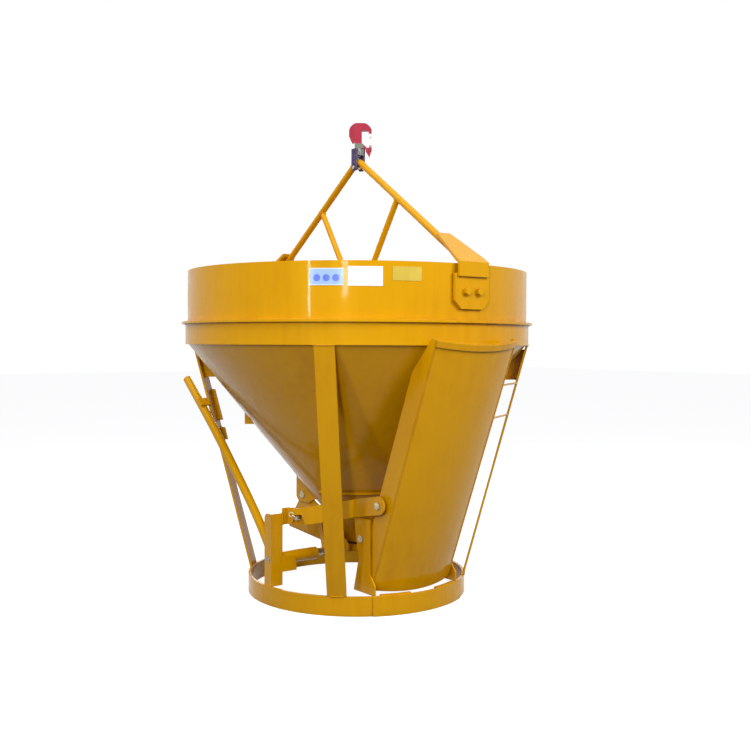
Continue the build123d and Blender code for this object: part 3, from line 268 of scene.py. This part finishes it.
def rubberMaterial():
    material, tree, shader, place = startMaterial("sealRubber")
    wear = spread(tree, noise(tree, place, 60.0, 4.0), 0.4, 0.7)
    colour = mixColour(tree, wear, (0.018, 0.018, 0.019), (0.055, 0.052, 0.048))
    tree.links.new(colour, shader.inputs["Base Color"])
    tree.links.new(spread(tree, wear, 0, 1, 0.65, 0.85), shader.inputs["Roughness"])
    tree.links.new(bump(tree, noise(tree, place, 900.0, 2.0), 0.4, 0.0002), shader.inputs["Normal"])
    return material


# sign plates on the rim, without any lettering
signs = {
    "blue": {"ground": (0.25, 0.42, 0.86), "disc": (0.035, 0.10, 0.62), "rim": (0.55, 0.66, 0.90)},
    "centre": -44.5,  # degrees round the axis
    "discHeight": 1.347,
    "discPitch": 0.036,
    "discRadius": 0.0135,
    "frameLow": 1.3225,
    "frameHigh": 1.3795,
    "white": (0.83, 0.85, 0.88),
    "lime": (0.60, 0.42, 0.015),
}


def plateFinish(tree, shader, place, colour, rough):
    dust = spread(tree, noise(tree, place, 70.0, 4.0, 0.6), 0.45, 0.75, 0.0, 0.22)
    tree.links.new(mixColour(tree, dust, colour, (0.42, 0.36, 0.25)), shader.inputs["Base Color"])
    tree.links.new(spread(tree, dust, 0.0, 0.22, rough, rough + 0.2), shader.inputs["Roughness"])
    tree.links.new(bump(tree, noise(tree, place, 260.0, 2.0), 0.15, 0.0003, roundedNormal(tree, 0.0008)), shader.inputs["Normal"])
    shader.inputs["Coat Weight"].default_value = 0.3
    shader.inputs["Coat Roughness"].default_value = 0.12


def blueSignMaterial(spec):
    material, tree, shader, place = startMaterial("blueSign")
    axes = tree.nodes.new("ShaderNodeSeparateXYZ")
    tree.links.new(place, axes.inputs[0])
    turn = maths(tree, "ARCTAN2", axes.outputs["Y"], axes.outputs["X"])
    along = maths(tree, "MULTIPLY", maths(tree, "SUBTRACT", turn, math.radians(spec["centre"])), 0.7515)
    rise = maths(tree, "SUBTRACT", axes.outputs["Z"], spec["discHeight"])
    marks = 0.0
    for step in (-1, 0, 1):
        side = maths(tree, "SUBTRACT", along, step * spec["discPitch"])
        far = maths(tree, "SQRT", maths(tree, "ADD", maths(tree, "MULTIPLY", side, side), maths(tree, "MULTIPLY", rise, rise)))
        disc = spread(tree, far, spec["discRadius"] + 0.0006, spec["discRadius"] - 0.0006)
        marks = maths(tree, "MAXIMUM", marks, disc)
    colour = mixColour(tree, marks, spec["blue"]["ground"], spec["blue"]["disc"])
    low = spread(tree, axes.outputs["Z"], spec["frameLow"] + 0.0004, spec["frameLow"] - 0.0004)
    high = spread(tree, axes.outputs["Z"], spec["frameHigh"] - 0.0004, spec["frameHigh"] + 0.0004)
    colour = mixColour(tree, maths(tree, "MAXIMUM", low, high), colour, spec["blue"]["rim"])
    plateFinish(tree, shader, place, colour, 0.34)
    return material


def plainSignMaterial(name, colour):
    material, tree, shader, place = startMaterial(name)
    clouds = spread(tree, noise(tree, place, 24.0, 3.0), 0.35, 0.7)
    shade = tuple(0.90 * c for c in colour)
    plateFinish(tree, shader, place, mixColour(tree, clouds, colour, shade), 0.36)
    return material


# crimson hook on a grey-green neck, with a pale latch
hookFinish = {
    "paint": {
        "colour": (0.36, 0.006, 0.032),
        "deep": (0.20, 0.004, 0.020),
        # lighter edge colour: partly edge wear, partly a painted edge highlight
        "edgeWearAndHighlight": (0.42, 0.36, 0.20),
        # colour of the painted shade in corners and recesses
        "paintedShadeColour": (0.060, 0.012, 0.020),
        "roughness": 0.30,
        "peelScale": 500.0,
        "peelHeight": 0.0002,
        "glossTint": (1.0, 0.75, 0.80),
        "coat": 0.35,
    },
    "neckTop": 1.9945,
    "neckRadius": 0.027,
    "neck": (0.150, 0.175, 0.130),
    "latch": (0.50, 0.52, 0.48),
}


def hookMaterial(spec):
    material = enamelMaterial("crimsonPaint", spec["paint"])
    tree = material.node_tree
    shader = tree.nodes["Principled BSDF"]
    axes = tree.nodes.new("ShaderNodeSeparateXYZ")
    tree.links.new(tree.nodes.new("ShaderNodeTexCoord").outputs["Object"], axes.inputs[0])
    x, y = axes.outputs["X"], axes.outputs["Y"]
    out = maths(tree, "SQRT", maths(tree, "ADD", maths(tree, "MULTIPLY", x, x), maths(tree, "MULTIPLY", y, y)))
    low = spread(tree, axes.outputs["Z"], spec["neckTop"] + 0.0005, spec["neckTop"] - 0.0005)
    near = spread(tree, out, spec["neckRadius"] + 0.0005, spec["neckRadius"] - 0.0005)
    painted = shader.inputs["Base Color"].links[0].from_socket
    tree.links.new(mixColour(tree, maths(tree, "MULTIPLY", low, near), painted, spec["neck"]), shader.inputs["Base Color"])
    return material


yellow = enamelMaterial("yellowEnamel", enamel)
crimson = hookMaterial(hookFinish)
metalFinishes["paleLatch"] = {"colour": hookFinish["latch"], "tint": (0.24, 0.25, 0.22), "roughness": 0.30}
latchSteel = metalMaterial("paleLatch", metalFinishes["paleLatch"], 0.55)
blueSign = blueSignMaterial(signs)
whiteSign = plainSignMaterial("whiteSign", signs["white"])
limeSign = plainSignMaterial("limeSign", signs["lime"])
zinc = metalMaterial("zincSteel", metalFinishes["zincSteel"])
bare = metalMaterial("bareSteel", metalFinishes["bareSteel"])
darkSteel = metalMaterial("darkSteel", metalFinishes["darkSteel"], 0.6)
greySteel = metalMaterial("greySteel", metalFinishes["greySteel"], 0.5)
rubber = rubberMaterial()
print("materials made")


def dress(name, material):
    mesh = nodes[name].data
    if not mesh.materials:
        mesh.materials.append(material)
    for slot in range(len(mesh.materials)):
        mesh.materials[slot] = material


metalNodes = {
    "crank_pin": bare,
    "lever_shaft": bare,
    "stay_pin": bare,
    "stay_clip": zinc,
    "shackle_pin": zinc,
    "shackle_plates": darkSteel,
    "swivel_block": greySteel,
    "hook_stem_nut": darkSteel,
    "gate_seal": rubber,
    "hook_body": crimson,
    "hook_latch": latchSteel,
    "label_blue": blueSign,
    "label_white": whiteSign,
    "label_yellow": limeSign,
    "gate_pivot_bolts": zinc,
    "chute_bolts": zinc,
    "chute_nuts": zinc,
}
for nodeName in nodes:
    dress(nodeName, metalNodes.get(nodeName, yellow))
print("CAD nodes dressed")


# weld beads, found where a plate's edges lie on the steel that carries it
weld = {
    "radius": 0.0034,
    "ripple": 0.16,
    "pitch": 0.0085,
    "step": 0.0028,
    "sides": 6,
    "seed": 7,
    "near": 0.0013,
    "corner": 24.0,  # degrees between two faces that make an edge
    "lowest": 0.006,
}
weldedPlates = {
    "frame": [
        "leg_back_left",
        "leg_back_right",
        "leg_chute_left",
        "leg_chute_right",
        "leg_ribs",
        "rim_flange",
        "rim_band",
        "hopper_cone",
        "outlet_neck",
        "outlet_collar",
        "gate_hangers",
        "bail_foot_plates",
        "bail_brackets",
        "bail_struts",
        "chute_uprights",
        "post_angle",
        "shaft_sleeve",
        "stay_lug",
        "lever_stop",
        "welded_lugs",
        "chute_rest_strips",
        "rim_anchor_plates",
        "ring_strap",
    ],
    "lever": ["lever_tube", "lever_crank"],
    "gate": ["gate_cheek_left", "gate_cheek_right"],
    "chute": ["chute_sides", "chute_mouth_strip"],
}
weldHosts = {
    "frame": ["rim_shell", "base_ring", "bail_bar"],
    "lever": ["lever_hub", "lever_shaft"],
    "gate": ["gate_flap"],
    "chute": ["chute_floor"],
}
weldEnamel = dict(enamel, colour=(0.600, 0.275, 0.0005), deep=(0.440, 0.180, 0.0005), roughness=0.28)


def steelTree(names):
    points, faces = [], []
    for name in names:
        mesh = nodes[name].data
        start = len(points)
        points.extend(v.co.copy() for v in mesh.vertices)
        faces.extend([start + i for i in p.vertices] for p in mesh.polygons)
    return BVHTree.FromPolygons(points, faces)


def plateEdges(name, corner):
    work = bmesh.new()
    work.from_mesh(nodes[name].data)
    bmesh.ops.remove_doubles(work, verts=work.verts, dist=0.00002)
    limit = math.radians(corner)
    found = []
    for edge in work.edges:
        if len(edge.link_faces) == 2 and edge.calc_face_angle(0.0) < limit:
            continue
        found.append((edge.verts[0].co.copy(), edge.verts[1].co.copy()))
    work.free()
    return found


def seamLines(body, spec):
    points, index, lines = [], {}, set()

    def pointAt(place):
        key = tuple(round(c * 5000) for c in place)
        if key not in index:
            index[key] = len(points)
            points.append(tuple(place))
        return index[key]

    for name in weldedPlates[body]:
        others = [n for n in weldedPlates[body] + weldHosts[body] if n != name]
        steel = steelTree(others)
        for first, second in plateEdges(name, spec["corner"]):
            cuts = max(1, math.ceil((second - first).length / 0.012))
            places = [first.lerp(second, i / cuts) for i in range(cuts + 1)]
            touching = [
                p.z > spec["lowest"] and steel.find_nearest(p, spec["near"])[0] is not None for p in places
            ]
            for i in range(cuts):
                if touching[i] and touching[i + 1]:
                    ends = sorted((pointAt(places[i]), pointAt(places[i + 1])))
                    if ends[0] != ends[1]:
                        lines.add(tuple(ends))
    return points, sorted(lines)


def weldTree(spec, material):
    tree = bpy.data.node_groups.new("weldBead", "GeometryNodeTree")
    face = tree.interface
    face.new_socket("Geometry", in_out="INPUT", socket_type="NodeSocketGeometry")
    for label in ("Bead Radius", "Ripple", "Ripple Pitch", "Step"):
        face.new_socket(label, in_out="INPUT", socket_type="NodeSocketFloat")
    face.new_socket("Sides", in_out="INPUT", socket_type="NodeSocketInt")
    face.new_socket("Seed", in_out="INPUT", socket_type="NodeSocketInt")
    face.new_socket("Geometry", in_out="OUTPUT", socket_type="NodeSocketGeometry")
    make = tree.nodes.new
    link = tree.links.new
    given = make("NodeGroupInput").outputs
    curve = make("GeometryNodeMeshToCurve")
    link(given["Geometry"], curve.inputs["Mesh"])
    even = make("GeometryNodeResampleCurve")
    even.mode = "LENGTH"
    link(curve.outputs["Curve"], even.inputs["Curve"])
    link(given["Step"], even.inputs["Length"])
    along = make("GeometryNodeSplineParameter")
    phase = maths(tree, "DIVIDE", along.outputs["Length"], given["Ripple Pitch"])
    wave = maths(tree, "SINE", maths(tree, "MULTIPLY", phase, 2 * math.pi))
    wander = make("FunctionNodeRandomValue")
    wander.data_type = "FLOAT"
    wander.inputs[2].default_value = -0.6
    wander.inputs[3].default_value = 0.6
    link(given["Seed"], wander.inputs["Seed"])
    swell = maths(tree, "MULTIPLY", maths(tree, "ADD", wave, wander.outputs[1]), given["Ripple"])
    size = maths(tree, "MULTIPLY", maths(tree, "ADD", swell, 1.0), given["Bead Radius"])
    sized = make("GeometryNodeSetCurveRadius")
    link(even.outputs["Curve"], sized.inputs["Curve"])
    link(size, sized.inputs["Radius"])
    ring = make("GeometryNodeCurvePrimitiveCircle")
    ring.inputs["Radius"].default_value = 1.0
    link(given["Sides"], ring.inputs["Resolution"])
    bead = make("GeometryNodeCurveToMesh")
    link(sized.outputs["Curve"], bead.inputs["Curve"])
    link(ring.outputs["Curve"], bead.inputs["Profile Curve"])
    bead.inputs["Fill Caps"].default_value = True
    if "Scale" in bead.inputs:
        link(size, bead.inputs["Scale"])
    smooth = make("GeometryNodeSetShadeSmooth")
    link(bead.outputs["Mesh"], smooth.inputs["Geometry"])
    solid = make("GeometryNodeRealizeInstances")
    link(smooth.outputs["Geometry"], solid.inputs["Geometry"])
    painted = make("GeometryNodeSetMaterial")
    painted.inputs["Material"].default_value = material
    link(solid.outputs["Geometry"], painted.inputs["Geometry"])
    link(painted.outputs["Geometry"], make("NodeGroupOutput").inputs["Geometry"])
    return tree


def makeWelds(body, tree, spec, material):
    points, lines = seamLines(body, spec)
    mesh = bpy.data.meshes.new(body + "Seams")
    mesh.from_pydata(points, lines, [])
    piece = bpy.data.objects.new(body + "Welds", mesh)
    bpy.context.scene.collection.objects.link(piece)
    modifier = piece.modifiers.new("weldBead", "NODES")
    modifier.node_group = tree
    values = {
        "Bead Radius": spec["radius"],
        "Ripple": spec["ripple"],
        "Ripple Pitch": spec["pitch"],
        "Step": spec["step"],
        "Sides": spec["sides"],
        "Seed": spec["seed"],
    }
    for socket in tree.interface.items_tree:
        if socket.in_out == "INPUT" and socket.name in values:
            modifier[socket.identifier] = values[socket.name]
    ready = piece.evaluated_get(bpy.context.evaluated_depsgraph_get())
    finished = bpy.data.meshes.new_from_object(ready)
    piece.modifiers.clear()
    piece.data = finished
    if not finished.materials:
        finished.materials.append(material)
    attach(piece, body)
    print("welds on", body, len(lines), "runs,", len(finished.polygons), "faces")


weldPaint = enamelMaterial("weldEnamel", weldEnamel, 0.8)
beadTree = weldTree(weld, weldPaint)
for bodyName in weldedPlates:
    makeWelds(bodyName, beadTree, weld, weldPaint)


# floor, lamps and world
stageSpec = {"floorSize": 60.0, "floorGlow": 0.86, "floorTone": 0.32, "floorBounce": 0.05, "worldStrength": 0.34}


def seenDirectly(tree):
    # rays that show the background: from the camera, in gloss and through glass
    path = tree.nodes.new("ShaderNodeLightPath")
    mirrored = maths(tree, "MAXIMUM", path.outputs["Is Glossy Ray"], path.outputs["Is Transmission Ray"])
    return maths(tree, "MAXIMUM", path.outputs["Is Camera Ray"], mirrored)


def makeFloor(spec):
    half = spec["floorSize"] / 2
    mesh = bpy.data.meshes.new("floor")
    mesh.from_pydata([(-half, -half, 0), (half, -half, 0), (half, half, 0), (-half, half, 0)], [], [(0, 1, 2, 3)])
    floor = bpy.data.objects.new("floor", mesh)
    bpy.context.scene.collection.objects.link(floor)
    floor.location.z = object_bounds()[0][2] - 0.0005
    material = bpy.data.materials.new("paleFloor")
    material.use_nodes = True
    tree = material.node_tree
    tree.nodes.clear()
    out = tree.nodes.new("ShaderNodeOutputMaterial")
    backdropRays = seenDirectly(tree)
    lit = tree.nodes.new("ShaderNodeBsdfDiffuse")
    lit.inputs["Color"].default_value = (*[spec["floorBounce"]] * 3, 1)
    seen = tree.nodes.new("ShaderNodeBsdfDiffuse")
    tone = spec["floorTone"]
    seen.inputs["Color"].default_value = (tone, tone, tone, 1)
    glow = tree.nodes.new("ShaderNodeEmission")
    glow.inputs["Strength"].default_value = spec["floorGlow"]
    both = tree.nodes.new("ShaderNodeAddShader")
    tree.links.new(seen.outputs[0], both.inputs[0])
    tree.links.new(glow.outputs[0], both.inputs[1])
    mix = tree.nodes.new("ShaderNodeMixShader")
    tree.links.new(backdropRays, mix.inputs[0])
    tree.links.new(lit.outputs[0], mix.inputs[1])
    tree.links.new(both.outputs[0], mix.inputs[2])
    tree.links.new(mix.outputs[0], out.inputs["Surface"])
    mesh.materials.append(material)
    floor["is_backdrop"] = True


def makeWorld(spec):
    world = bpy.data.worlds.new("studio")
    bpy.context.scene.world = world
    world.use_nodes = True
    tree = world.node_tree
    tree.nodes.clear()
    out = tree.nodes.new("ShaderNodeOutputWorld")
    backdropRays = seenDirectly(tree)
    room = tree.nodes.new("ShaderNodeBackground")
    room.inputs["Color"].default_value = (0.90, 0.93, 1.0, 1)
    room.inputs["Strength"].default_value = spec["worldStrength"]
    white = tree.nodes.new("ShaderNodeBackground")
    white.inputs["Color"].default_value = (1, 1, 1, 1)
    mix = tree.nodes.new("ShaderNodeMixShader")
    tree.links.new(backdropRays, mix.inputs[0])
    tree.links.new(room.outputs[0], mix.inputs[1])
    tree.links.new(white.outputs[0], mix.inputs[2])
    tree.links.new(mix.outputs[0], out.inputs["Surface"])


def areaLamp(name, azimuth, distance, height, size, power, target=(0, 0, 1.0), colour=(1, 1, 1)):
    data = bpy.data.lights.new(name, "AREA")
    data.shape = "RECTANGLE"
    data.size, data.size_y = size
    data.energy = power
    data.color = colour
    lamp = bpy.data.objects.new(name, data)
    bpy.context.scene.collection.objects.link(lamp)
    angle = math.radians(azimuth)
    lamp.location = (distance * math.cos(angle), distance * math.sin(angle), height)
    lamp.rotation_euler = (Vector(target) - lamp.location).to_track_quat("-Z", "Y").to_euler()


makeFloor(stageSpec)
makeWorld(stageSpec)
areaLamp("keyRight", 15, 4.6, 3.4, (2.4, 2.4), 170)
areaLamp("stripLeft", -64, 5.0, 2.4, (0.12, 2.2), 55)
areaLamp("stripFront", -43, 5.6, 2.6, (0.34, 2.2), 120)
areaLamp("topFill", -90, 2.5, 4.6, (3.0, 3.0), 90)
areaLamp("backFill", 150, 5.0, 3.0, (3.0, 3.0), 110)
print("stage set")
